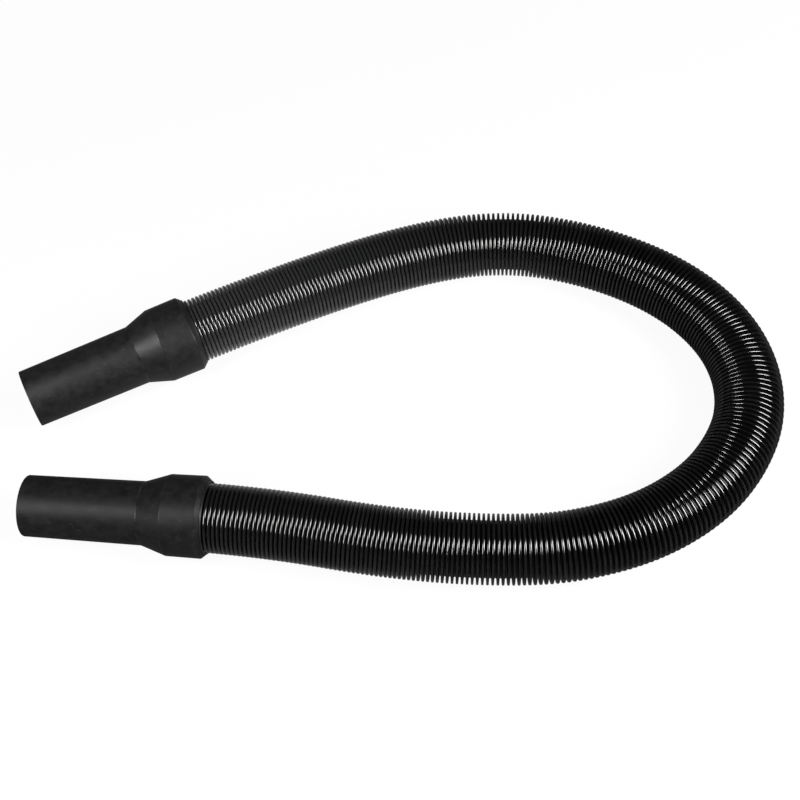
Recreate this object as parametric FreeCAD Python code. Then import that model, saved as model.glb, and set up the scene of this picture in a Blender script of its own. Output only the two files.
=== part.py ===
import FreeCAD, Part
import math
import os

# A corrugated vacuum cleaner hose that lies on the floor in a U, with a tapered
# slip-fit cuff on each end. Each cuff swivels on a sleeve that is screwed over
# the hose's last ribs. All sizes are in millimetres and +Z is up. The origin is
# under the middle of the whole hose, on the floor.

# Hose: a thin ribbed wall, with its outer diameter at the crests of the ribs.
HOSE_BORE_R = 19.0
HOSE_WALL = 0.8
RIB_HEIGHT = 4.2
RIB_COUNT = 200
RIB_FOOT_WIDTH = 2.7
RIB_TIP_WIDTH = 1.3

# Cuff, from its tip to its mouth: a slightly tapered tube, a flare, a collar that
# holds the hose, and a bevel round the mouth.
CUFF_TUBE_LENGTH = 83.0
CUFF_FLARE_LENGTH = 17.7
CUFF_COLLAR_LENGTH = 23.8
CUFF_BEVEL_LENGTH = 2.8
CUFF_TIP_R = 21.3
CUFF_NECK_R = 22.1
COLLAR_FRONT_R = 28.1
COLLAR_BACK_R = 28.4
CUFF_MOUTH_EDGE = 0.4
CUFF_BORE_R = 19.05
CUFF_BORE_LENGTH = 76.0
TIP_CHAMFER = 1.0
FUNNEL_END_R = 22.4

# Swivel sleeve: it sits over the hose's end, its inner ridges lie between the
# ribs, and the ring round its inner end turns in a groove of the cuff.
HOSE_INSERT = 25.8
SLEEVE_SHOWS = 1.2
SLEEVE_WALL = 1.0
RIDGE_COUNT = 4
RIDGE_WIDTH = 1.2
RIDGE_HEIGHT = 2.6
RING_HEIGHT = 1.0
RING_WIDTH = 3.0

# Clearances.
SLEEVE_CLEARANCE = 0.3
SWIVEL_CLEARANCE = 0.3
END_CLEARANCE = 0.4

# Route of the hose's centre line, from its end inside the machine's cuff, round
# the bend, to its end inside the wand's cuff. Each point is a corner that the
# hose rounds off. The heights are above the hose's own resting height.
COLLAR_LIFT = COLLAR_BACK_R - (HOSE_BORE_R + HOSE_WALL + RIB_HEIGHT)
ROUTE = [
    (-171, 62, COLLAR_LIFT),
    (-119, 82, COLLAR_LIFT),
    (-21, 116, 1.5),
    (48, 131, 0),
    (98, 130, 0),
    (144, 116, 0),
    (188, 92, 0),
    (221, 63, 0),
    (243, 28, 0),
    (251, -8, 0),
    (246, -44, 0),
    (229, -74, 0),
    (203, -100, 0),
    (165, -120, 0),
    (121, -130, 0),
    (76, -131, 0),
    (-6, -119, 1.5),
    (-104, -91, COLLAR_LIFT),
    (-162, -80.5, COLLAR_LIFT),
]
ARC_SHARE = 0.45

# Sizes that follow from the ones above.
HOSE_VALLEY_R = HOSE_BORE_R + HOSE_WALL
HOSE_CREST_R = HOSE_VALLEY_R + RIB_HEIGHT
SLEEVE_BORE_R = HOSE_CREST_R + SLEEVE_CLEARANCE
SLEEVE_R = SLEEVE_BORE_R + SLEEVE_WALL
SLEEVE_LENGTH = HOSE_INSERT + SLEEVE_SHOWS
RING_R = SLEEVE_R + RING_HEIGHT
MOUTH_BORE_R = SLEEVE_R + SWIVEL_CLEARANCE
GROOVE_R = RING_R + SWIVEL_CLEARANCE
CUFF_LENGTH = CUFF_TUBE_LENGTH + CUFF_FLARE_LENGTH + CUFF_COLLAR_LENGTH + CUFF_BEVEL_LENGTH


def route_points():
    """The corners of the centre line, at their real heights."""
    return [FreeCAD.Vector(x, y, lift + HOSE_CREST_R) for x, y, lift in ROUTE]


def rounded_corner(before, corner, after):
    """The ends, middle and radius of the arc that rounds one corner."""
    back = before - corner
    ahead = after - corner
    reach = ARC_SHARE * min(back.Length, ahead.Length)
    back.normalize()
    ahead.normalize()
    half_turn = (math.pi - back.getAngle(ahead)) / 2
    radius = reach / math.tan(half_turn)
    inward = back + ahead
    inward.normalize()
    middle = corner + inward * (radius / math.cos(half_turn) - radius)
    return corner + back * reach, middle, corner + ahead * reach, radius


def centre_line():
    """Straight runs joined by tangent arcs, and the radius of each arc."""
    points = route_points()
    edges = []
    radii = []
    start = points[0]
    for before, corner, after in zip(points, points[1:], points[2:]):
        arc_start, middle, arc_end, radius = rounded_corner(before, corner, after)
        edges.append(Part.LineSegment(start, arc_start).toShape())
        edges.append(Part.Arc(arc_start, middle, arc_end).toShape())
        radii.append(radius)
        start = arc_end
    edges.append(Part.LineSegment(start, points[-1]).toShape())
    return edges, radii


def station(edges, distance):
    """The point and direction of the centre line at a distance from its start."""
    for edge in edges:
        if distance <= edge.Length or edge is edges[-1]:
            along = edge.getParameterByLength(min(distance, edge.Length))
            return edge.valueAt(along), edge.tangentAt(along)
        distance -= edge.Length


def ring(edges, distance, radius):
    """A circle square to the centre line, its X axis always on the hose's top."""
    centre, ahead = station(edges, distance)
    turn = FreeCAD.Rotation(FreeCAD.Vector(0, 0, 1), FreeCAD.Vector(0, 0, 0), ahead, "ZXY")
    circle = Part.makeCircle(radius)
    circle.Placement = FreeCAD.Placement(centre, turn)
    return Part.Wire([circle])


def make_hose(edges):
    """The ribbed tube: four circles a rib, and a smooth bore."""
    length = sum(edge.Length for edge in edges)
    pitch = length / RIB_COUNT
    rings = [ring(edges, 0, HOSE_VALLEY_R)]
    for index in range(RIB_COUNT):
        middle = (index + 0.5) * pitch
        rings.append(ring(edges, middle - RIB_FOOT_WIDTH / 2, HOSE_VALLEY_R))
        rings.append(ring(edges, middle - RIB_TIP_WIDTH / 2, HOSE_CREST_R))
        rings.append(ring(edges, middle + RIB_TIP_WIDTH / 2, HOSE_CREST_R))
        rings.append(ring(edges, middle + RIB_FOOT_WIDTH / 2, HOSE_VALLEY_R))
    rings.append(ring(edges, length, HOSE_VALLEY_R))
    outside = Part.makeLoft(rings, True, True)
    bore = Part.Wire(edges).makePipeShell([ring(edges, 0, HOSE_BORE_R)], True, False)
    return outside.cut(bore)


def turned(profile):
    """A solid of revolution about the X axis, from points of distance and radius."""
    points = [FreeCAD.Vector(distance, radius, 0) for distance, radius in profile]
    face = Part.Face(Part.makePolygon(points + points[:1]))
    return face.revolve(FreeCAD.Vector(0, 0, 0), FreeCAD.Vector(1, 0, 0), 360)


def make_cuff():
    """One cuff, with its mouth at the origin and its tip along +X."""
    tip = CUFF_LENGTH
    neck = tip - CUFF_TUBE_LENGTH
    collar_front = neck - CUFF_FLARE_LENGTH
    collar_back = collar_front - CUFF_COLLAR_LENGTH
    shoulder = HOSE_INSERT + END_CLEARANCE
    groove_back = HOSE_INSERT - RING_WIDTH - END_CLEARANCE
    return turned([
        (0, MOUTH_BORE_R),
        (groove_back, MOUTH_BORE_R),
        (groove_back, GROOVE_R),
        (shoulder, GROOVE_R),
        (shoulder, FUNNEL_END_R),
        (tip - TIP_CHAMFER - CUFF_BORE_LENGTH, CUFF_BORE_R),
        (tip - TIP_CHAMFER, CUFF_BORE_R),
        (tip, CUFF_BORE_R + TIP_CHAMFER),
        (tip, CUFF_TIP_R),
        (neck, CUFF_NECK_R),
        (collar_front, COLLAR_FRONT_R),
        (collar_back, COLLAR_BACK_R),
        (0, MOUTH_BORE_R + CUFF_MOUTH_EDGE),
    ])


def make_sleeve(pitch):
    """One swivel sleeve, in the same place as the cuff that it carries."""
    inner_end = HOSE_INSERT
    outer_end = inner_end - SLEEVE_LENGTH
    sleeve = turned([
        (outer_end, SLEEVE_BORE_R),
        (inner_end, SLEEVE_BORE_R),
        (inner_end, RING_R),
        (inner_end - RING_WIDTH, RING_R),
        (inner_end - RING_WIDTH, SLEEVE_R),
        (outer_end, SLEEVE_R),
    ])
    ridges = []
    for index in range(RIDGE_COUNT):
        middle = inner_end - (index + 1) * pitch
        ridges.append(turned([
            (middle - RIDGE_WIDTH / 2, SLEEVE_BORE_R - RIDGE_HEIGHT),
            (middle + RIDGE_WIDTH / 2, SLEEVE_BORE_R - RIDGE_HEIGHT),
            (middle + RIDGE_WIDTH / 2, SLEEVE_BORE_R + SLEEVE_WALL / 2),
            (middle - RIDGE_WIDTH / 2, SLEEVE_BORE_R + SLEEVE_WALL / 2),
        ]))
    return sleeve.fuse(ridges)


def placed_on_end(shape, hose_end, next_corner):
    """The shape moved to one end of the hose, its +X pointing out of that end."""
    outward = hose_end - next_corner
    outward.normalize()
    mouth = hose_end - outward * HOSE_INSERT
    heading = math.degrees(math.atan2(outward.y, outward.x))
    moved = shape.copy()
    moved.Placement = FreeCAD.Placement(mouth, FreeCAD.Rotation(FreeCAD.Vector(0, 0, 1), heading))
    return moved


def expected_volume(length):
    """The hose's section times its length: a plain wall, and ribs turned about the bore."""
    wall = math.pi * (HOSE_VALLEY_R ** 2 - HOSE_BORE_R ** 2) * length
    widths = RIB_FOOT_WIDTH + RIB_TIP_WIDTH
    rib_section = RIB_HEIGHT * widths / 2
    rib_centre_r = HOSE_VALLEY_R + RIB_HEIGHT * (widths + RIB_TIP_WIDTH) / (3 * widths)
    return wall + 2 * math.pi * rib_centre_r * rib_section * RIB_COUNT


def build():
    points = route_points()
    edges, radii = centre_line()
    length = sum(edge.Length for edge in edges)
    pitch = length / RIB_COUNT
    print("centre line %.1f mm, rib pitch %.2f mm" % (length, pitch))
    print("bend radii, mm:", " ".join("%.0f" % radius for radius in radii))

    hose = make_hose(edges)
    print("hose volume %.0f, section times length %.0f" % (hose.Volume, expected_volume(length)))
    cuff = make_cuff()
    sleeve = make_sleeve(pitch)
    machine_end = points[0], points[1]
    wand_end = points[-1], points[-2]
    nodes = {
        "hose": hose,
        "machine_swivel_sleeve": placed_on_end(sleeve, *machine_end),
        "machine_cuff": placed_on_end(cuff, *machine_end),
        "wand_swivel_sleeve": placed_on_end(sleeve, *wand_end),
        "wand_cuff": placed_on_end(cuff, *wand_end),
    }
    os.makedirs("parts", exist_ok=True)
    for name, shape in nodes.items():
        print(name, "valid" if shape.isValid() else "not valid", len(shape.Solids), "solid")
        shape.exportStep("parts/" + name + ".step")


build()
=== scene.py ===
import cmath
import math

import bmesh
import bpy
from bpy.props import FloatProperty, FloatVectorProperty, IntProperty, PointerProperty
from bpy.types import Operator, Panel, PropertyGroup
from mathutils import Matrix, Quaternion, Vector


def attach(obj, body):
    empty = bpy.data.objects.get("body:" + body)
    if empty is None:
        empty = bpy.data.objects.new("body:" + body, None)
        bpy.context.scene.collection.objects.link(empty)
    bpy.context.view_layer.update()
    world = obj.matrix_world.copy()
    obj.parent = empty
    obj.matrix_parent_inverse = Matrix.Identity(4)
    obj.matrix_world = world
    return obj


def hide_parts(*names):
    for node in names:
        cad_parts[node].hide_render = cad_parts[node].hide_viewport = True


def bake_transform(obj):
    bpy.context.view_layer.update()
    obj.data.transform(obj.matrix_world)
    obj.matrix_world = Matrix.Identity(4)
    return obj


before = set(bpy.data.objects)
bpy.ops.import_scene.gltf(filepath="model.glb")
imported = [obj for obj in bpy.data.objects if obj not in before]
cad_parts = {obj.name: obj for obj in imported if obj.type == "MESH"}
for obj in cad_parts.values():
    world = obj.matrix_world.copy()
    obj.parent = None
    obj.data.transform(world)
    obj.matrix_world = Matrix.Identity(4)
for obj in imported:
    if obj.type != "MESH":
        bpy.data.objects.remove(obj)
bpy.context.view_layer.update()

bl_info = {
    "name": "Vacuum Hose",
    "version": (1, 0, 0),
    "blender": (4, 5, 0),
    "location": "3D View > Sidebar > Vacuum Hose",
    "description": "A corrugated vacuum cleaner hose with a swivelling slip-fit cuff on each end",
    "category": "Add Mesh",
}

MM = 0.001

# Route of the hose's centre line, from its end inside the machine's cuff, round
# the bend, to its end inside the wand's cuff: x, y and the height above the
# hose's own resting height, in metres.
COLLAR_LIFT = 0.0044
ROUTE = [
    (-0.171, 0.062, COLLAR_LIFT),
    (-0.119, 0.082, COLLAR_LIFT),
    (-0.021, 0.116, 0.0015),
    (0.048, 0.131, 0),
    (0.098, 0.130, 0),
    (0.144, 0.116, 0),
    (0.188, 0.092, 0),
    (0.221, 0.063, 0),
    (0.243, 0.028, 0),
    (0.251, -0.008, 0),
    (0.246, -0.044, 0),
    (0.229, -0.074, 0),
    (0.203, -0.100, 0),
    (0.165, -0.120, 0),
    (0.121, -0.130, 0),
    (0.076, -0.131, 0),
    (-0.006, -0.119, 0.0015),
    (-0.104, -0.091, COLLAR_LIFT),
    (-0.162, -0.0805, COLLAR_LIFT),
]
ROUTE_STEPS = 24

# How far apart the ribs stand along the hose, against the widest gap. The bend
# pulls them apart and the straight ends let them close up.
RIB_GAPS = [
    (0.00, 0.80), (0.05, 0.83), (0.11, 0.83), (0.19, 0.86), (0.28, 0.935), (0.36, 0.91),
    (0.45, 0.955), (0.55, 1.00), (0.65, 0.955), (0.75, 0.91), (0.83, 0.82), (0.92, 0.84), (1.00, 0.82),
]
# Half a rib's section, from its foot to its tip: share of the foot's width and
# share of the rib's height.
RIB_FLANK = [(0.467, 0.052), (0.335, 0.927), (0.30, 0.953), (0.21, 0.978), (0.117, 0.993), (0.0, 1.0)]
# Points of the hose's mesh closer than this become one, and edges that turn more
# than the crease angle stay sharp.
MERGE_DISTANCE = 0.00002
CREASE_ANGLE = math.radians(84)

# The corners of a cuff's and a sleeve's section are rounded by these, in mm, but
# take up no more than a share of the shorter side next to them.
EDGE_ROUND = 0.25
TIP_ROUND = 0.5
NECK_ROUND = 3.0
COLLAR_ROUND = 1.2
MOUTH_ROUND = 0.5
ROUND_STEP = math.radians(12)
ROUND_SHARE = 0.4
# An extra point on each side of a rounded corner keeps the flat beside it flat.
SUPPORT = 0.5
SUPPORT_SHARE = 0.1

# The mould's parting line on a cuff: a low ridge, with its foot held by a row of
# points a little further out.
PARTING_HEIGHT = 0.12
PARTING_HALF_WIDTH = math.radians(0.7)
PARTING_SUPPORT = 1.6
MACHINE_PARTING = math.radians(31)
WAND_PARTING = math.radians(-40)

# Painted light on the vinyl: it turns lighter towards both ends, which lie on the left where the light
# falls brighter. These are the shares of the hose's length over which it fades away from the machine's
# end and comes back at the wand's end, how strong it gets at that end, and how much lighter the valleys
# are painted than the tips, which fills in their shade.
MACHINE_PAINTED_GLOW = (0.06, 0.38)
WAND_PAINTED_GLOW = (0.70, 0.95)
WAND_PAINTED_GLOW_AMOUNT = 0.125
VALLEY_PAINTED_GLOW = 5.0
VINYL_WORN = (0.012, 0.012, 0.013)

# A pool of light that only reflections show on the floor, and how white the floor
# looks to the camera: less so near the object, so that its shadow shows there.
POOL_CENTRE = (-0.09, 0.09, 0.0)
POOL_RADIUS = 0.33
POOL_FALL = 1.5
POOL_DIM, POOL_BRIGHT = 0.02, 0.50
NEAR_REACH, FAR_REACH = 0.40, 0.90
NEAR_WHITE, FAR_WHITE = 0.93, 1.0
# The room in reflections: its walls on the left and on the right, and how much
# brighter they are low down.
ROOM_LEFT, ROOM_RIGHT = 0.05, 0.008
ROOM_LOW, ROOM_HIGH = 4.0, 1.0

# The view: a short telephoto lens above the near side, turned a little clockwise.
SENSOR_WIDTH = 36.0
FOCAL_LENGTH = 59.85
CAMERA_AIM = Vector((0.00185, 0.01203, 0))
CAMERA_DISTANCE = 0.9844
CAMERA_ELEVATION = math.radians(57.96)
CAMERA_ROLL = math.radians(-5.5)

UP = Vector((0, 0, 1))
WHITE = (1.0, 1.0, 1.0, 1.0)


def length_prop(name, description, default_mm):
    return FloatProperty(name=name, description=description, default=default_mm * MM,
                         min=0.0, precision=5, unit="LENGTH", subtype="DISTANCE")


def colour_prop(name, description, default):
    return FloatVectorProperty(name=name, description=description, default=default,
                               size=3, min=0.0, max=1.0, subtype="COLOR")


def place_prop(name, description, default):
    return FloatVectorProperty(name=name, description=description, default=default,
                               size=3, unit="LENGTH", subtype="TRANSLATION")


def power_prop(name, description, default):
    return FloatProperty(name=name, description=description, default=default, min=0.0, unit="POWER")


class HoseSizes(PropertyGroup):
    bore_radius: length_prop("Bore Radius", "Inside radius of the hose", 18.8)
    wall: length_prop("Wall", "Thickness of the wall between two ribs", 0.4)
    rib_height: length_prop("Rib Height", "Height of a rib above the wall", 4.8)
    rib_foot_width: length_prop("Rib Foot Width", "Thickness of a rib at its foot", 2.4)
    rib_count: IntProperty(name="Ribs", description="Ribs on the whole hose", default=296, min=20)
    sides: IntProperty(name="Sides", description="Faces round the hose", default=48, min=16)


class CuffSizes(PropertyGroup):
    tube_length: length_prop("Tube Length", "Length of the tapered tube", 83.0)
    flare_length: length_prop("Flare Length", "Length of the flare", 17.7)
    collar_length: length_prop("Collar Length", "Length of the collar", 23.8)
    bevel_length: length_prop("Bevel Length", "Length of the bevel round the mouth", 2.8)
    tip_radius: length_prop("Tip Radius", "Outside radius at the tip", 21.3)
    neck_radius: length_prop("Neck Radius", "Outside radius where the flare starts", 22.1)
    collar_front_radius: length_prop("Collar Front Radius", "Radius where the flare ends", 28.1)
    collar_back_radius: length_prop("Collar Back Radius", "Radius where the bevel starts", 28.4)
    mouth_radius: length_prop("Mouth Radius", "Outside radius at the mouth", 26.0)
    mouth_bore_radius: length_prop("Mouth Bore Radius", "Inside radius at the mouth", 25.6)
    groove_radius: length_prop("Groove Radius", "Radius of the groove for the sleeve's ring", 26.6)
    groove_start: length_prop("Groove Start", "Depth at which the groove starts", 22.4)
    shoulder: length_prop("Shoulder", "Depth at which the mouth's bore ends", 26.2)
    funnel_radius: length_prop("Funnel Radius", "Inside radius behind the shoulder", 22.4)
    bore_radius: length_prop("Bore Radius", "Inside radius of the tube", 19.05)
    bore_length: length_prop("Bore Length", "Length of the parallel bore", 76.0)
    tip_chamfer: length_prop("Tip Chamfer", "Chamfer inside the tip", 1.0)
    sides: IntProperty(name="Sides", description="Faces round a cuff", default=120, min=16)


class SleeveSizes(PropertyGroup):
    insert: length_prop("Insert", "Length of hose inside a cuff", 25.8)
    shows: length_prop("Shows", "Length of sleeve outside the cuff's mouth", 1.2)
    bore_radius: length_prop("Bore Radius", "Inside radius of the sleeve", 24.3)
    radius: length_prop("Radius", "Outside radius of the sleeve", 25.3)
    ring_radius: length_prop("Ring Radius", "Radius of the ring that holds the cuff", 26.3)
    ring_width: length_prop("Ring Width", "Width of the ring", 3.0)
    ridge_height: length_prop("Ridge Height", "Height of a ridge between two ribs", 2.4)
    ridge_width: length_prop("Ridge Width", "Width of a ridge", 0.8)
    ridge_pitch: length_prop("Ridge Pitch", "Distance from one ridge to the next", 3.0)
    ridge_count: IntProperty(name="Ridges", description="Ridges in the sleeve", default=5, min=1)


class Finishes(PropertyGroup):
    vinyl: colour_prop("Vinyl", "Colour of the hose", (0.0018, 0.0018, 0.0019))
    # Painted light: the lighter colour that the hose turns towards its ends and in its valleys, standing
    # in for brighter light there.
    vinyl_painted_glow: colour_prop("Vinyl Painted Glow", "Colour of the hose where it is dusty", (0.025, 0.025, 0.025))
    rubber: colour_prop("Rubber", "Colour of the cuffs", (0.0047, 0.0047, 0.0049))
    rubber_scuff: colour_prop("Rubber Scuff", "Colour of rubbed rubber", (0.042, 0.042, 0.043))
    # Lit and shaded copies of one rubber: the machine's cuff gets more gloss than the wand's, which
    # paints on it the brighter highlights of the stronger light on that side.
    machine_lit_gloss: FloatProperty(name="Machine Cuff Gloss", description="Gloss of the machine's cuff",
                                 default=0.38, min=0.0, max=1.0, subtype="FACTOR")
    wand_shaded_gloss: FloatProperty(name="Wand Cuff Gloss", description="Gloss of the wand's cuff",
                              default=0.15, min=0.0, max=1.0, subtype="FACTOR")
    plastic: colour_prop("Plastic", "Colour of the swivel sleeves", (0.0100, 0.0100, 0.0105))
    floor: colour_prop("Floor", "Colour of the floor", (0.80, 0.80, 0.80))


class StageSizes(PropertyGroup):
    floor_half_side: length_prop("Floor Half Side", "Half the side of the floor", 4000.0)
    right_place: place_prop("Right Lamp", "Where the large softbox stands", (0.80, -0.34, 0.70))
    right_width: length_prop("Right Width", "Width of the large softbox", 380.0)
    right_depth: length_prop("Right Depth", "Depth of the large softbox", 600.0)
    right_power: power_prop("Right Power", "Power of the large softbox", 16.5)
    left_place: place_prop("Left Lamp", "Where the narrow softbox stands", (-0.62, -0.38, 0.75))
    left_width: length_prop("Left Width", "Width of the narrow softbox", 190.0)
    left_depth: length_prop("Left Depth", "Depth of the narrow softbox", 700.0)
    left_power: power_prop("Left Power", "Power of the narrow softbox", 9.2)
    sky: FloatProperty(name="Sky", description="Strength of the room's own light",
                       default=0.12, min=0.0, subtype="FACTOR")


class HoseSettings(PropertyGroup):
    hose: PointerProperty(type=HoseSizes)
    cuff: PointerProperty(type=CuffSizes)
    sleeve: PointerProperty(type=SleeveSizes)
    finish: PointerProperty(type=Finishes)
    stage: PointerProperty(type=StageSizes)


class NodeBuilder:
    """Adds nodes to a tree. An input given as a socket is linked, and any other is a constant."""

    def __init__(self, tree):
        self.tree = tree
        tree.nodes.clear()

    def put(self, socket, value):
        if isinstance(value, bpy.types.NodeSocket):
            self.tree.links.new(value, socket)
        else:
            socket.default_value = value

    def add(self, kind, inputs=(), **settings):
        node = self.tree.nodes.new(kind)
        for setting, value in settings.items():
            setattr(node, setting, value)
        for key, value in dict(inputs).items():
            self.put(node.inputs[key], value)
        return node

    def several(self, kind, operation, values):
        return self.add(kind, dict(enumerate(values)), operation=operation).outputs[0]

    def math(self, operation, *values):
        return self.several("ShaderNodeMath", operation, values)

    def whole(self, operation, *values):
        return self.several("FunctionNodeIntegerMath", operation, values)

    def vector(self, operation, *values):
        return self.several("ShaderNodeVectorMath", operation, values)

    def scaled(self, vector, factor):
        inputs = {"Vector": vector, "Scale": factor}
        return self.add("ShaderNodeVectorMath", inputs, operation="SCALE").outputs[0]

    def choose(self, kind, test, if_false, if_true):
        inputs = {"Switch": test, "False": if_false, "True": if_true}
        return self.add("GeometryNodeSwitch", inputs, input_type=kind).outputs[0]

    def pick(self, index, values):
        """The value at a whole-number index."""
        node = self.add("GeometryNodeIndexSwitch", data_type="FLOAT")
        while len(node.index_switch_items) < len(values):
            node.index_switch_items.new()
        self.put(node.inputs["Index"], index)
        for place, value in enumerate(values):
            node.inputs[1 + place].default_value = value
        return node.outputs[0]

    def map_range(self, value, from_min, from_max, to_min, to_max):
        inputs = {"Value": value, "From Min": from_min, "From Max": from_max,
                  "To Min": to_min, "To Max": to_max}
        return self.add("ShaderNodeMapRange", inputs).outputs[0]

    def noise(self, position, scale, detail=2.0, roughness=0.5):
        inputs = {"Vector": position, "Scale": scale, "Detail": detail, "Roughness": roughness}
        return self.add("ShaderNodeTexNoise", inputs).outputs[0]

    def mix_colour(self, factor, first, second):
        node = self.add("ShaderNodeMix", data_type="RGBA")
        self.put(node.inputs["Factor"], factor)
        self.put(node.inputs[6], first)
        self.put(node.inputs[7], second)
        return node.outputs[2]


def new_group(kind, name, inputs, outputs):
    """A node group with its sockets: its builder, its inputs by name and its output node."""
    tree = bpy.data.node_groups.new(name, kind)
    for label, socket_type, default in inputs:
        socket = tree.interface.new_socket(name=label, in_out="INPUT", socket_type=socket_type)
        if default is not None:
            socket.default_value = default
    for label, socket_type in outputs:
        tree.interface.new_socket(name=label, in_out="OUTPUT", socket_type=socket_type)
    nodes = NodeBuilder(tree)
    given = nodes.add("NodeGroupInput").outputs
    return nodes, given, nodes.add("NodeGroupOutput")


# Shader groups that several finishes share.

def moulded_grain_group():
    """The fine grain and slow mottling of a moulded surface."""
    nodes, given, result = new_group(
        "ShaderNodeTree", "Moulded Grain",
        [("Position", "NodeSocketVector", None), ("Grain Scale", "NodeSocketFloat", 1800.0),
         ("Mottle Scale", "NodeSocketFloat", 60.0)],
        [("Height", "NodeSocketFloat"), ("Mottle", "NodeSocketFloat")])
    grain = nodes.noise(given["Position"], given["Grain Scale"], 2.0)
    coarse = nodes.noise(given["Position"], nodes.math("MULTIPLY", given["Grain Scale"], 0.3), 1.0)
    height = nodes.math("ADD", nodes.math("MULTIPLY", grain, 0.6), nodes.math("MULTIPLY", coarse, 0.4))
    mottle = nodes.noise(given["Position"], given["Mottle Scale"], 4.0, 0.62)
    nodes.put(result.inputs["Height"], height)
    nodes.put(result.inputs["Mottle"], nodes.map_range(mottle, 0.3, 0.7, 0.0, 1.0))
    return nodes.tree


def handling_marks_group():
    """Where a surface is rubbed: along its edges, and in a few short streaks and specks."""
    nodes, given, result = new_group(
        "ShaderNodeTree", "Handling Marks",
        [("Position", "NodeSocketVector", None), ("Edge", "NodeSocketFloat", 0.0),
         ("Amount", "NodeSocketFloat", 0.5)],
        [("Marks", "NodeSocketFloat")])
    patches = nodes.map_range(nodes.noise(given["Position"], 90.0, 3.0), 0.42, 0.68, 0.0, 1.0)
    edge = nodes.math("MULTIPLY", given["Edge"], patches)
    smear = nodes.vector("MULTIPLY", given["Position"], (60.0, 520.0, 520.0))
    streak = nodes.map_range(nodes.noise(smear, 1.0, 3.0, 0.6), 0.66, 0.76, 0.0, 0.5)
    speck = nodes.map_range(nodes.noise(given["Position"], 700.0, 1.0), 0.70, 0.78, 0.0, 0.7)
    marks = nodes.math("MAXIMUM", nodes.math("MAXIMUM", edge, streak), speck)
    nodes.put(result.inputs["Marks"], nodes.math("MULTIPLY", marks, given["Amount"]))
    return nodes.tree


def shared_group(name, make):
    return bpy.data.node_groups.get(name) or make()


def grain_and_marks(nodes, edge, grain_scale, mottle_scale, amount):
    """Places both shared groups in a material, and gives the grain's height, the mottle and the marks."""
    position = nodes.add("ShaderNodeTexCoord").outputs["Object"]
    grain = nodes.add("ShaderNodeGroup", node_tree=shared_group("Moulded Grain", moulded_grain_group))
    nodes.put(grain.inputs["Position"], position)
    nodes.put(grain.inputs["Grain Scale"], grain_scale)
    nodes.put(grain.inputs["Mottle Scale"], mottle_scale)
    marks = nodes.add("ShaderNodeGroup", node_tree=shared_group("Handling Marks", handling_marks_group))
    nodes.put(marks.inputs["Position"], position)
    nodes.put(marks.inputs["Edge"], edge)
    nodes.put(marks.inputs["Amount"], amount)
    return grain.outputs["Height"], grain.outputs["Mottle"], marks.outputs["Marks"]


def new_material(name):
    material = bpy.data.materials.new(name)
    material.use_nodes = True
    return material, NodeBuilder(material.node_tree)


def opaque(colour):
    return (*colour, 1.0)


def attribute(nodes, name):
    return nodes.add("ShaderNodeAttribute", attribute_name=name).outputs["Fac"]


def finish_surface(nodes, colour, roughness, height, bump_strength, bump_depth, specular):
    """A Principled surface with its bump, linked to the material's output."""
    bump = nodes.add("ShaderNodeBump", {"Strength": bump_strength, "Distance": bump_depth,
                                        "Height": height})
    surface = nodes.add("ShaderNodeBsdfPrincipled", {
        "Base Color": colour, "Roughness": roughness, "Normal": bump.outputs[0],
        "Specular IOR Level": specular, "IOR": 1.5})
    nodes.add("ShaderNodeOutputMaterial", {"Surface": surface.outputs[0]})


def vinyl_material(colour, painted_glow_colour):
    """Glossy soft vinyl, a little duller on the tips of the ribs, with painted light that makes it
    lighter towards its ends, and lighter in the valleys than on the tips.
    """
    material, nodes = new_material("hose_vinyl_finish")
    rise = attribute(nodes, "rib_rise")
    tip = nodes.map_range(rise, 0.9, 1.0, 0.0, 1.0)
    height, mottle, marks = grain_and_marks(nodes, tip, 1500.0, 45.0, 0.4)
    shade = nodes.math("MULTIPLY", mottle, 0.25)
    dark = nodes.mix_colour(shade, opaque(colour), opaque([1.9 * part for part in colour]))
    # Painted light: towards both ends, which lie on the left where the light falls brighter, the colour
    # turns lighter. The valleys are painted lighter than the tips, which fills in the shade between the
    # ribs.
    along = attribute(nodes, "along")
    machine_painted_glow = nodes.math("POWER", nodes.map_range(along, *MACHINE_PAINTED_GLOW, 1.0, 0.0), 1.5)
    wand_painted_glow = nodes.map_range(along, *WAND_PAINTED_GLOW, 0.0, WAND_PAINTED_GLOW_AMOUNT)
    painted_glow_tone = nodes.mix_colour(rise, opaque([VALLEY_PAINTED_GLOW * part for part in painted_glow_colour]), opaque(painted_glow_colour))
    painted_lighter = nodes.mix_colour(nodes.math("MAXIMUM", machine_painted_glow, wand_painted_glow), dark, painted_glow_tone)
    worn = nodes.mix_colour(marks, painted_lighter, opaque(VINYL_WORN))
    roughness = nodes.math("ADD", nodes.map_range(mottle, 0.0, 1.0, 0.10, 0.15),
                           nodes.math("MULTIPLY", marks, 0.08))
    finish_surface(nodes, worn, roughness, height, 0.04, 0.00002, 1.0)
    return material


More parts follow.
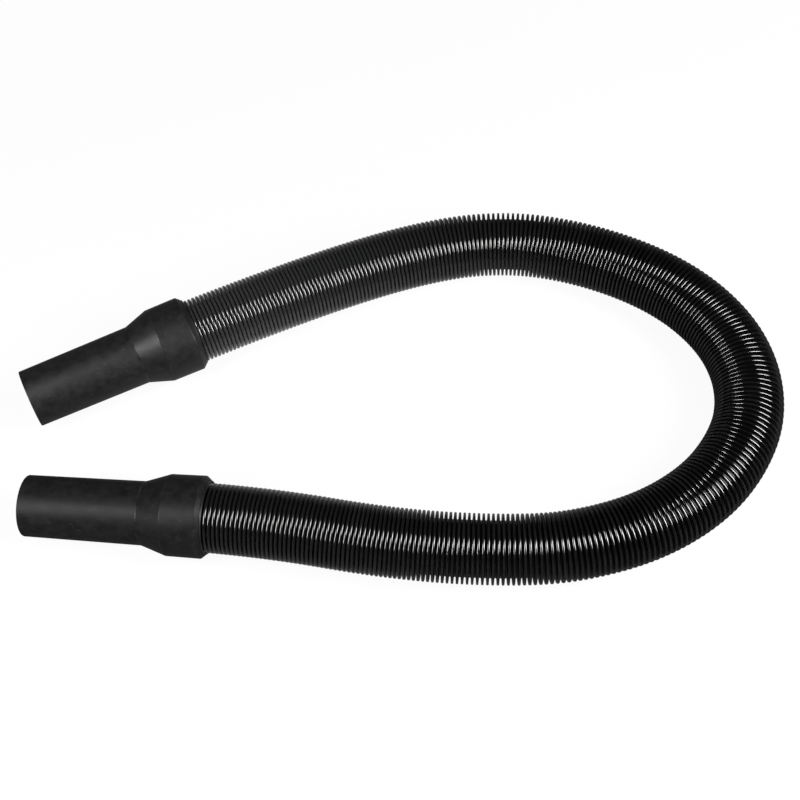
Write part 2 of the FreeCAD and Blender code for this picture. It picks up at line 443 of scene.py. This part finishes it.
def rubber_material(name, colour, scuff_colour, specular):
    """Satin rubber with a fine grain, paler where it is scuffed and shinier along its edges."""
    material, nodes = new_material(name)
    edge = attribute(nodes, "edge")
    height, mottle, marks = grain_and_marks(nodes, edge, 2300.0, 160.0, 1.0)
    tone = nodes.mix_colour(mottle, opaque(colour), opaque([2.4 * part for part in colour]))
    worn = nodes.mix_colour(marks, tone, opaque(scuff_colour))
    satin = nodes.map_range(mottle, 0.0, 1.0, 0.42, 0.53)
    rubbed = nodes.math("MULTIPLY", satin, nodes.map_range(edge, 0.0, 1.0, 1.0, 0.55))
    roughness = nodes.math("ADD", rubbed, nodes.math("MULTIPLY", marks, 0.1))
    finish_surface(nodes, worn, roughness, height, 0.35, 0.00008, specular)
    return material


def plastic_material(colour):
    """Hard matte plastic of the swivel sleeves."""
    material, nodes = new_material("sleeve_plastic_finish")
    height, mottle, marks = grain_and_marks(nodes, attribute(nodes, "edge"), 1900.0, 70.0, 0.4)
    worn = nodes.mix_colour(marks, opaque(colour), opaque([4.0 * part for part in colour]))
    roughness = nodes.map_range(mottle, 0.0, 1.0, 0.34, 0.44)
    finish_surface(nodes, worn, roughness, height, 0.2, 0.00005, 0.5)
    return material


# The hose.

def evaluated_mesh(obj):
    """A plain mesh of the object as its modifiers or its curve make it."""
    graph = bpy.context.evaluated_depsgraph_get()
    return bpy.data.meshes.new_from_object(
        obj.evaluated_get(graph), preserve_all_data_layers=True, depsgraph=graph)


def linked_object(name, data):
    obj = bpy.data.objects.new(name, data)
    bpy.context.scene.collection.objects.link(obj)
    return obj


def route_line(crest_radius):
    """The centre line as a mesh of short edges, read from a spline with the route's points."""
    curve = bpy.data.curves.new("hose_route", "CURVE")
    curve.dimensions = "3D"
    curve.resolution_u = ROUTE_STEPS
    spline = curve.splines.new("NURBS")
    spline.points.add(len(ROUTE) - 1)
    for point, (x, y, lift) in zip(spline.points, ROUTE):
        point.co = (x, y, lift + crest_radius, 1.0)
    spline.order_u = 3
    spline.use_endpoint_u = True
    holder = linked_object("hose_route", curve)
    line = evaluated_mesh(holder)
    bpy.data.objects.remove(holder)
    bpy.data.curves.remove(curve)
    return line


def ribbed_hose_tree():
    """A stretch of hose: rings round a line, with uneven gaps between ribs, and a plain bore."""
    nodes, given, result = new_group(
        "GeometryNodeTree", "Ribbed Hose",
        [("Line", "NodeSocketGeometry", None), ("Ribs on Hose", "NodeSocketInt", 296),
         ("First Rib", "NodeSocketInt", 0), ("Ribs", "NodeSocketInt", 148),
         ("Sides", "NodeSocketInt", 48), ("Bore Radius", "NodeSocketFloat", 0.0188),
         ("Wall", "NodeSocketFloat", 0.0004), ("Rib Height", "NodeSocketFloat", 0.0048),
         ("Rib Foot Width", "NodeSocketFloat", 0.0024), ("Material", "NodeSocketMaterial", None)],
        [("Hose", "NodeSocketGeometry")])
    section = [(-half, rise) for half, rise in RIB_FLANK]
    section += [(half, rise) for half, rise in reversed(RIB_FLANK[:-1])]
    rings = len(section) + 1

    # Where each valley between two ribs lies along the line.
    line = nodes.add("GeometryNodeMeshToCurve", {"Mesh": given["Line"]}).outputs[0]
    length = nodes.add("GeometryNodeCurveLength", {"Curve": line}).outputs[0]
    index = nodes.add("GeometryNodeInputIndex").outputs[0]
    valleys = nodes.add("GeometryNodeMeshLine",
                        {"Count": nodes.whole("ADD", given["Ribs on Hose"], 1)}).outputs[0]
    gaps = nodes.add("ShaderNodeFloatCurve",
                     {"Value": nodes.math("DIVIDE", index, given["Ribs on Hose"])}, name="Rib Gaps")
    points = gaps.mapping.curves[0].points
    points[0].location, points[-1].location = RIB_GAPS[0], RIB_GAPS[-1]
    for share, gap in RIB_GAPS[1:-1]:
        points.new(share, gap)
    gaps.mapping.update()
    reached = nodes.add("GeometryNodeAccumulateField", {"Value": gaps.outputs[0]}).outputs["Trailing"]
    total = nodes.add("GeometryNodeSampleIndex", {
        "Geometry": valleys, "Value": reached, "Index": given["Ribs on Hose"]}).outputs[0]
    station = nodes.math("MULTIPLY", nodes.math("DIVIDE", reached, total), length)

    # A grid whose rows go along the outside and back along the bore.
    outer_last = nodes.whole("MULTIPLY", given["Ribs"], rings)
    last_row = nodes.whole("ADD", nodes.whole("ADD", outer_last, given["Ribs"]), 2)
    columns = nodes.whole("ADD", given["Sides"], 1)
    grid = nodes.add("GeometryNodeMeshGrid", {
        "Vertices X": nodes.whole("ADD", last_row, 1), "Vertices Y": columns}).outputs[0]
    row = nodes.whole("MODULO", nodes.whole("DIVIDE_FLOOR", index, columns), last_row)
    column = nodes.whole("MODULO", index, columns)
    in_bore = nodes.add("FunctionNodeCompare", {2: row, 3: outer_last},
                        data_type="INT", operation="GREATER_THAN").outputs[0]
    outer_rib = nodes.whole("DIVIDE_FLOOR", row, rings)
    bore_rib = nodes.whole("SUBTRACT", last_row, nodes.whole("ADD", row, 1))
    rib = nodes.whole("ADD", nodes.choose("INT", in_bore, outer_rib, bore_rib), given["First Rib"])
    step = nodes.choose("INT", in_bore, nodes.whole("MODULO", row, rings), 0)
    on_rib = nodes.add("FunctionNodeCompare", {2: step, 3: 0},
                       data_type="INT", operation="GREATER_THAN").outputs[0]

    def valley(number):
        return nodes.add("GeometryNodeSampleIndex", {
            "Geometry": valleys, "Value": station, "Index": number}).outputs[0]

    before, after = valley(rib), valley(nodes.whole("ADD", rib, 1))
    middle = nodes.math("MULTIPLY", nodes.math("ADD", before, after), 0.5)
    place = nodes.choose("FLOAT", on_rib, before, middle)

    # Each rib keeps its own thickness: its rings share one centre and are offset square to it.
    spot = nodes.add("GeometryNodeSampleCurve", mode="LENGTH")
    nodes.put(spot.inputs["Curves"], line)
    nodes.put(spot.inputs["Length"], place)
    ahead = spot.outputs["Tangent"]
    side = nodes.vector("NORMALIZE", nodes.vector("CROSS_PRODUCT", (0.0, 0.0, 1.0), ahead))
    above = nodes.vector("CROSS_PRODUCT", ahead, side)
    rise = nodes.pick(step, [0.0] + [share for _, share in section])
    offset = nodes.pick(step, [0.0] + [share for share, _ in section])
    outer = nodes.math("ADD", nodes.math("ADD", given["Bore Radius"], given["Wall"]),
                       nodes.math("MULTIPLY", rise, given["Rib Height"]))
    radius = nodes.choose("FLOAT", in_bore, outer, given["Bore Radius"])
    turn = nodes.math("MULTIPLY", nodes.math("DIVIDE", column, given["Sides"]), math.tau)
    sideways = nodes.scaled(side, nodes.math("MULTIPLY", radius, nodes.math("COSINE", turn)))
    upwards = nodes.scaled(above, nodes.math("MULTIPLY", radius, nodes.math("SINE", turn)))
    along = nodes.scaled(ahead, nodes.math("MULTIPLY", offset, given["Rib Foot Width"]))
    position = nodes.vector("ADD", nodes.vector("ADD", spot.outputs["Position"], along),
                            nodes.vector("ADD", sideways, upwards))

    marked = nodes.add("GeometryNodeStoreNamedAttribute", {
        "Geometry": grid, "Name": "rib_rise", "Value": rise}, data_type="FLOAT").outputs[0]
    measured = nodes.add("GeometryNodeStoreNamedAttribute", {
        "Geometry": marked, "Name": "along", "Value": nodes.math("DIVIDE", place, length)},
        data_type="FLOAT").outputs[0]
    shaped = nodes.add("GeometryNodeSetPosition", {
        "Geometry": measured, "Position": position}).outputs[0]
    closed = nodes.add("GeometryNodeMergeByDistance", {
        "Geometry": shaped, "Distance": MERGE_DISTANCE}).outputs[0]
    smooth = nodes.add("GeometryNodeSetShadeSmooth", {
        "Geometry": closed, "Shade Smooth": True}, domain="FACE").outputs[0]
    angle = nodes.add("GeometryNodeInputMeshEdgeAngle").outputs["Unsigned Angle"]
    sharp = nodes.add("FunctionNodeCompare", {0: angle, 1: CREASE_ANGLE},
                      data_type="FLOAT", operation="GREATER_THAN").outputs[0]
    creased = nodes.add("GeometryNodeSetShadeSmooth", {
        "Geometry": smooth, "Selection": sharp, "Shade Smooth": False}, domain="EDGE").outputs[0]
    whole = nodes.add("GeometryNodeRealizeInstances", {"Geometry": creased}).outputs[0]
    finished = nodes.add("GeometryNodeSetMaterial", {
        "Geometry": whole, "Material": given["Material"]}).outputs[0]
    nodes.put(result.inputs["Hose"], finished)
    return nodes.tree


def made_by_tree(name, data, tree, values):
    """A plain mesh object made by a geometry tree from the values of its named inputs."""
    obj = bpy.data.objects.new(name, data)
    modifier = obj.modifiers.new("Shape", "NODES")
    modifier.node_group = tree
    for socket in tree.interface.items_tree:
        if socket.in_out == "INPUT" and socket.name in values:
            modifier[socket.identifier] = values[socket.name]
    bpy.context.scene.collection.objects.link(obj)
    mesh = evaluated_mesh(obj)
    mesh.name = name
    obj.modifiers.remove(modifier)
    obj.data = mesh
    return obj


def split_index(tree, points, first_rib, ribs):
    """The point of the line at which a rib starts."""
    mapping = tree.nodes["Rib Gaps"].mapping
    gaps = [mapping.evaluate(mapping.curves[0], number / ribs) for number in range(ribs)]
    share = sum(gaps[:first_rib]) / sum(gaps)
    steps = [(after - before).length for before, after in zip(points, points[1:])]
    goal = share * sum(steps)
    run = 0.0
    for index, step in enumerate(steps):
        run += step
        if run >= goal:
            return index
    return len(points) - 1


def radius_over_ribs(sizes):
    return sizes.bore_radius + sizes.wall + sizes.rib_height


class AddHose(Operator):
    """Adds the ribbed hose as two halves that meet in the bend"""
    bl_idname = "vacuum_hose.add_hose"
    bl_label = "Hose"

    def execute(self, context):
        settings = context.scene.vacuum_hose
        sizes = settings.hose
        crest_radius = radius_over_ribs(sizes)
        line = route_line(crest_radius)
        points = [vertex.co.copy() for vertex in line.vertices]
        tree = ribbed_hose_tree()
        ribs = sizes.rib_count
        half = ribs // 2
        values = {"Ribs on Hose": ribs, "Sides": sizes.sides, "Bore Radius": sizes.bore_radius,
                  "Wall": sizes.wall, "Rib Height": sizes.rib_height,
                  "Rib Foot Width": sizes.rib_foot_width,
                  "Material": vinyl_material(settings.finish.vinyl, settings.finish.vinyl_painted_glow)}
        cut = split_index(tree, points, half, ribs)
        machine_half = made_by_tree("hose_machine_half", line.copy(), tree,
                                    {**values, "First Rib": 0, "Ribs": half})
        wand_half = made_by_tree("hose_wand_half", line.copy(), tree,
                                 {**values, "First Rib": half, "Ribs": ribs - half})
        for half_hose in (machine_half, wand_half):
            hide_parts("hose")
        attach(machine_half, "hose")
        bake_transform(wand_half)
        return {"FINISHED"}


# The cuffs and their sleeves.

def rounded_outline(corners):
    """A closed outline with its corners rounded, as (place, radius, how far on an edge) points.

    A point of the outline is a complex number: its place along the axis, and its radius."""
    outline = []
    spots = [complex(place, radius) for place, radius, _ in corners]
    for number, corner in enumerate(spots):
        back = spots[number - 1] - corner
        ahead = spots[(number + 1) % len(spots)] - corner
        room = min(abs(back), abs(ahead))
        back, ahead = back / abs(back), ahead / abs(ahead)
        bend = cmath.phase(-ahead / back)
        slope = math.tan(abs(bend) / 2)
        reach = min(corners[number][2] * slope, ROUND_SHARE * room)
        start, end = corner + back * reach, corner + ahead * reach
        centre = start - back * complex(0, math.copysign(reach / slope, bend))
        support = min(SUPPORT * MM, SUPPORT_SHARE * room)
        outline.append((start + back * support, 0.0))
        steps = max(2, math.ceil(abs(bend) / ROUND_STEP))
        for step in range(steps + 1):
            share = step / steps
            arm = (start - centre) * cmath.rect(1, bend * share)
            outline.append((centre + arm, math.sin(math.pi * share)))
        outline.append((end + ahead * support, 0.0))
    return [(spot.real, spot.imag, edge) for spot, edge in outline]


def turned_mesh(name, outline, sides, mouth, outward, parting=None, ridge_ends=(0.0, 0.0)):
    """A closed mesh of revolution round an axis that starts at the mouth.

    The parting angle, if given, gets a low ridge on what faces out between ridge_ends."""
    side = UP.cross(outward).normalized()
    angles = [math.tau * number / sides for number in range(sides)]
    ridges = {}
    if parting is not None:
        for centre in (parting % math.tau, (parting + math.pi) % math.tau):
            ridges[centre] = PARTING_HEIGHT * MM
            for offset in (PARTING_HALF_WIDTH, PARTING_SUPPORT * PARTING_HALF_WIDTH):
                ridges[centre - offset] = 0.0
                ridges[centre + offset] = 0.0
        spare = math.tau / sides / 3
        angles = [angle for angle in angles if all(abs(angle - ridge) > spare for ridge in ridges)]
        angles = sorted(angles + list(ridges))
    middle_radius = sum(radius for _, radius, _ in outline) / len(outline)
    vertices, edge_values = [], []
    for place, radius, edge in outline:
        outer = radius > middle_radius and ridge_ends[0] < place < ridge_ends[1]
        for angle in angles:
            grown = radius + (ridges.get(angle, 0.0) if outer else 0.0)
            vertices.append(mouth + outward * place
                            + side * (grown * math.cos(angle)) + UP * (grown * math.sin(angle)))
            edge_values.append(edge)
    rows, columns = len(outline), len(angles)
    faces = []
    for row in range(rows):
        following = (row + 1) % rows
        for column in range(columns):
            beside = (column + 1) % columns
            faces.append((row * columns + column, row * columns + beside,
                          following * columns + beside, following * columns + column))
    mesh = bpy.data.meshes.new(name)
    mesh.from_pydata(vertices, [], faces)
    mesh.attributes.new("edge", "FLOAT", "POINT").data.foreach_set("value", edge_values)
    edit = bmesh.new()
    edit.from_mesh(mesh)
    bmesh.ops.recalc_face_normals(edit, faces=edit.faces)
    edit.to_mesh(mesh)
    edit.free()
    mesh.shade_smooth()
    return mesh


def hose_end(first, second, crest_radius, insert):
    """The mouth of the cuff on one end of the hose, and the direction that its tip points in."""
    end = Vector((first[0], first[1], first[2] + crest_radius))
    outward = (end - Vector((second[0], second[1], second[2] + crest_radius))).normalized()
    return end - outward * insert, outward


def both_ends(settings):
    """For each end: its name, the bodies of its cuff and sleeve, the mouth, its axis and its parting."""
    crest_radius = radius_over_ribs(settings.hose)
    insert = settings.sleeve.insert
    machine = hose_end(ROUTE[0], ROUTE[1], crest_radius, insert)
    wand = hose_end(ROUTE[-1], ROUTE[-2], crest_radius, insert)
    return [("machine", "machine_cuff", "hose", *machine, MACHINE_PARTING),
            ("wand", "wand_cuff", "wand_sleeve", *wand, WAND_PARTING)]


class AddCuffs(Operator):
    """Adds both slip-fit cuffs, which are the same moulding"""
    bl_idname = "vacuum_hose.add_cuffs"
    bl_label = "Cuffs"

    def execute(self, context):
        settings = context.scene.vacuum_hose
        sizes = settings.cuff
        finish = settings.finish
        # The two cuffs are one rubber. The machine's cuff is given more gloss as painted highlight,
        # standing in for the brighter light that falls on it.
        rubbers = {end: rubber_material(end + "_cuff_finish", finish.rubber, finish.rubber_scuff, gloss)
                   for end, gloss in (("machine", finish.machine_lit_gloss), ("wand", finish.wand_shaded_gloss))}
        tip = sizes.tube_length + sizes.flare_length + sizes.collar_length + sizes.bevel_length
        neck = tip - sizes.tube_length
        collar_front = neck - sizes.flare_length
        parallel_end = tip - sizes.tip_chamfer
        small = EDGE_ROUND * MM
        outline = rounded_outline([
            (0.0, sizes.mouth_bore_radius, small),
            (sizes.groove_start, sizes.mouth_bore_radius, small),
            (sizes.groove_start, sizes.groove_radius, small),
            (sizes.shoulder, sizes.groove_radius, small),
            (sizes.shoulder, sizes.funnel_radius, small),
            (parallel_end - sizes.bore_length, sizes.bore_radius, NECK_ROUND * MM),
            (parallel_end, sizes.bore_radius, TIP_ROUND * MM),
            (tip, sizes.bore_radius + sizes.tip_chamfer, small),
            (tip, sizes.tip_radius, TIP_ROUND * MM),
            (neck, sizes.neck_radius, NECK_ROUND * MM),
            (collar_front, sizes.collar_front_radius, COLLAR_ROUND * MM),
            (sizes.bevel_length, sizes.collar_back_radius, MOUTH_ROUND * MM),
            (0.0, sizes.mouth_radius, small),
        ])
        for end, body, _, mouth, outward, parting in both_ends(settings):
            mesh = turned_mesh(end + "_cuff_part", outline, sizes.sides, mouth, outward,
                               parting, (collar_front, neck))
            mesh.materials.append(rubbers[end])
            cuff = linked_object(end + "_cuff_part", mesh)
            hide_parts(end + "_cuff")
            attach(cuff, body)
        return {"FINISHED"}


class AddSleeves(Operator):
    """Adds the two swivel sleeves on the hose's ends"""
    bl_idname = "vacuum_hose.add_sleeves"
    bl_label = "Swivel Sleeves"

    def execute(self, context):
        settings = context.scene.vacuum_hose
        sizes = settings.sleeve
        plastic = plastic_material(settings.finish.plastic)
        inner = sizes.insert
        ring_back = inner - sizes.ring_width
        small = EDGE_ROUND * MM
        corners = [(-sizes.shows, sizes.bore_radius, small)]
        half_width = sizes.ridge_width / 2
        for number in range(sizes.ridge_count, 0, -1):
            middle = inner - number * sizes.ridge_pitch
            low = sizes.bore_radius - sizes.ridge_height
            corners += [(middle - half_width, sizes.bore_radius, small / 2),
                        (middle - half_width, low, small), (middle + half_width, low, small),
                        (middle + half_width, sizes.bore_radius, small / 2)]
        corners += [(inner, sizes.bore_radius, small), (inner, sizes.ring_radius, small),
                    (ring_back, sizes.ring_radius, small), (ring_back, sizes.radius, small),
                    (-sizes.shows, sizes.radius, small)]
        outline = rounded_outline(corners)
        for end, _, body, mouth, outward, _ in both_ends(settings):
            name = end + "_swivel_sleeve_part"
            mesh = turned_mesh(name, outline, settings.cuff.sides, mouth, outward)
            mesh.materials.append(plastic)
            sleeve = linked_object(name, mesh)
            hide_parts(end + "_swivel_sleeve")
            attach(sleeve, body)
        return {"FINISHED"}


# The stage.

def floor_material(colour):
    """White to the camera, with a faint shadow by the object. It reflects as a pool of light."""
    material, nodes = new_material("studio_floor_finish")
    path = nodes.add("ShaderNodeLightPath").outputs
    position = nodes.add("ShaderNodeTexCoord").outputs["Object"]
    away = nodes.add("ShaderNodeVectorMath", {0: position, 1: POOL_CENTRE},
                     operation="DISTANCE").outputs["Value"]
    pool = nodes.math("POWER", nodes.map_range(away, 0.0, POOL_RADIUS, 1.0, 0.0), POOL_FALL)
    level = nodes.map_range(pool, 0.0, 1.0, POOL_DIM, POOL_BRIGHT)
    seen = nodes.math("MAXIMUM", path["Is Camera Ray"], path["Is Transmission Ray"])
    strength = nodes.math("ADD", seen, nodes.math("MULTIPLY", path["Is Glossy Ray"], level))
    lit = nodes.add("ShaderNodeBsdfDiffuse", {"Color": opaque(colour)})
    white = nodes.add("ShaderNodeEmission", {"Color": WHITE, "Strength": strength})
    outside = nodes.add("ShaderNodeVectorMath", {0: position}, operation="LENGTH").outputs["Value"]
    plain = nodes.map_range(outside, NEAR_REACH, FAR_REACH, NEAR_WHITE, FAR_WHITE)
    share = nodes.math("MULTIPLY", nodes.math("MAXIMUM", seen, path["Is Glossy Ray"]), plain)
    mixed = nodes.add("ShaderNodeMixShader", {0: share, 1: lit.outputs[0], 2: white.outputs[0]})
    nodes.add("ShaderNodeOutputMaterial", {"Surface": mixed.outputs[0]})
    return material


def room_world(strength):
    """White behind the object, and in reflections a dark room, paler low down and on the left."""
    world = bpy.data.worlds.new("studio_room")
    world.use_nodes = True
    nodes = NodeBuilder(world.node_tree)
    path = nodes.add("ShaderNodeLightPath").outputs
    direction = nodes.add("ShaderNodeTexCoord").outputs["Generated"]
    parts = nodes.add("ShaderNodeSeparateXYZ", {"Vector": direction}).outputs
    side = nodes.map_range(parts["X"], -0.3, 0.2, ROOM_LEFT, ROOM_RIGHT)
    low = nodes.map_range(parts["Z"], 0.05, 0.35, ROOM_LOW, ROOM_HIGH)
    seen = nodes.math("MAXIMUM", path["Is Camera Ray"], path["Is Transmission Ray"])
    reflected = nodes.math("MULTIPLY", path["Is Glossy Ray"], nodes.math("MULTIPLY", side, low))
    lighting = nodes.math("SUBTRACT", 1.0, nodes.math("MAXIMUM", seen, path["Is Glossy Ray"]))
    level = nodes.math("ADD", nodes.math("ADD", seen, reflected),
                       nodes.math("MULTIPLY", lighting, strength))
    background = nodes.add("ShaderNodeBackground", {"Color": WHITE, "Strength": level})
    nodes.add("ShaderNodeOutputWorld", {"Surface": background.outputs[0]})
    return world


def add_lamp(name, place, width, depth, power):
    """A softbox that points at the object's middle."""
    light = bpy.data.lights.new(name, "AREA")
    light.shape = "RECTANGLE"
    light.size = width
    light.size_y = depth
    light.energy = power
    lamp = linked_object(name, light)
    lamp.location = place
    lamp.rotation_euler = (-place).to_track_quat("-Z", "Y").to_euler()


class AddStage(Operator):
    """Adds the floor, the room's light, two softboxes and the camera"""
    bl_idname = "vacuum_hose.add_stage"
    bl_label = "Stage"

    def execute(self, context):
        settings = context.scene.vacuum_hose
        sizes = settings.stage
        half = sizes.floor_half_side
        mesh = bpy.data.meshes.new("studio_floor")
        mesh.from_pydata([(-half, -half, 0), (half, -half, 0), (half, half, 0), (-half, half, 0)],
                         [], [(0, 1, 2, 3)])
        mesh.materials.append(floor_material(settings.finish.floor))
        linked_object("studio_floor", mesh)
        context.scene.world = room_world(sizes.sky)
        add_lamp("right_softbox", Vector(sizes.right_place), sizes.right_width, sizes.right_depth,
                 sizes.right_power)
        add_lamp("left_softbox", Vector(sizes.left_place), sizes.left_width, sizes.left_depth,
                 sizes.left_power)
        lens = bpy.data.cameras.new("camera")
        lens.sensor_width = SENSOR_WIDTH
        lens.lens = FOCAL_LENGTH
        camera = linked_object("camera", lens)
        away = Vector((0, -math.cos(CAMERA_ELEVATION), math.sin(CAMERA_ELEVATION)))
        camera.location = CAMERA_AIM + away * CAMERA_DISTANCE
        level = (-away).to_track_quat("-Z", "Y")
        camera.rotation_euler = (level @ Quaternion((0, 0, 1), CAMERA_ROLL)).to_euler()
        context.scene.camera = camera
        context.scene.view_settings.view_transform = "Standard"
        return {"FINISHED"}


class HosePanel(Panel):
    """Lists the pieces of the hose and its stage"""
    bl_idname = "VIEW3D_PT_vacuum_hose"
    bl_label = "Vacuum Hose"
    bl_space_type = "VIEW_3D"
    bl_region_type = "UI"
    bl_category = "Vacuum Hose"

    def draw(self, context):
        settings = context.scene.vacuum_hose
        for group, operator in ((settings.cuff, AddCuffs), (settings.sleeve, AddSleeves),
                                (settings.hose, AddHose), (settings.stage, AddStage),
                                (settings.finish, None)):
            box = self.layout.box()
            if operator:
                box.operator(operator.bl_idname)
            for name in group.bl_rna.properties.keys():
                if name not in ("rna_type", "name"):
                    box.prop(group, name)


CLASSES = (HoseSizes, CuffSizes, SleeveSizes, Finishes, StageSizes, HoseSettings,
           AddCuffs, AddSleeves, AddHose, AddStage, HosePanel)


def register():
    for cls in CLASSES:
        bpy.utils.register_class(cls)
    bpy.types.Scene.vacuum_hose = PointerProperty(type=HoseSettings)


def unregister():
    del bpy.types.Scene.vacuum_hose
    for cls in reversed(CLASSES):
        bpy.utils.unregister_class(cls)


def main():
    register()
    bpy.ops.vacuum_hose.add_cuffs()
    bpy.ops.vacuum_hose.add_sleeves()
    bpy.ops.vacuum_hose.add_hose()
    bpy.ops.vacuum_hose.add_stage()


if __name__ == "__main__":
    main()
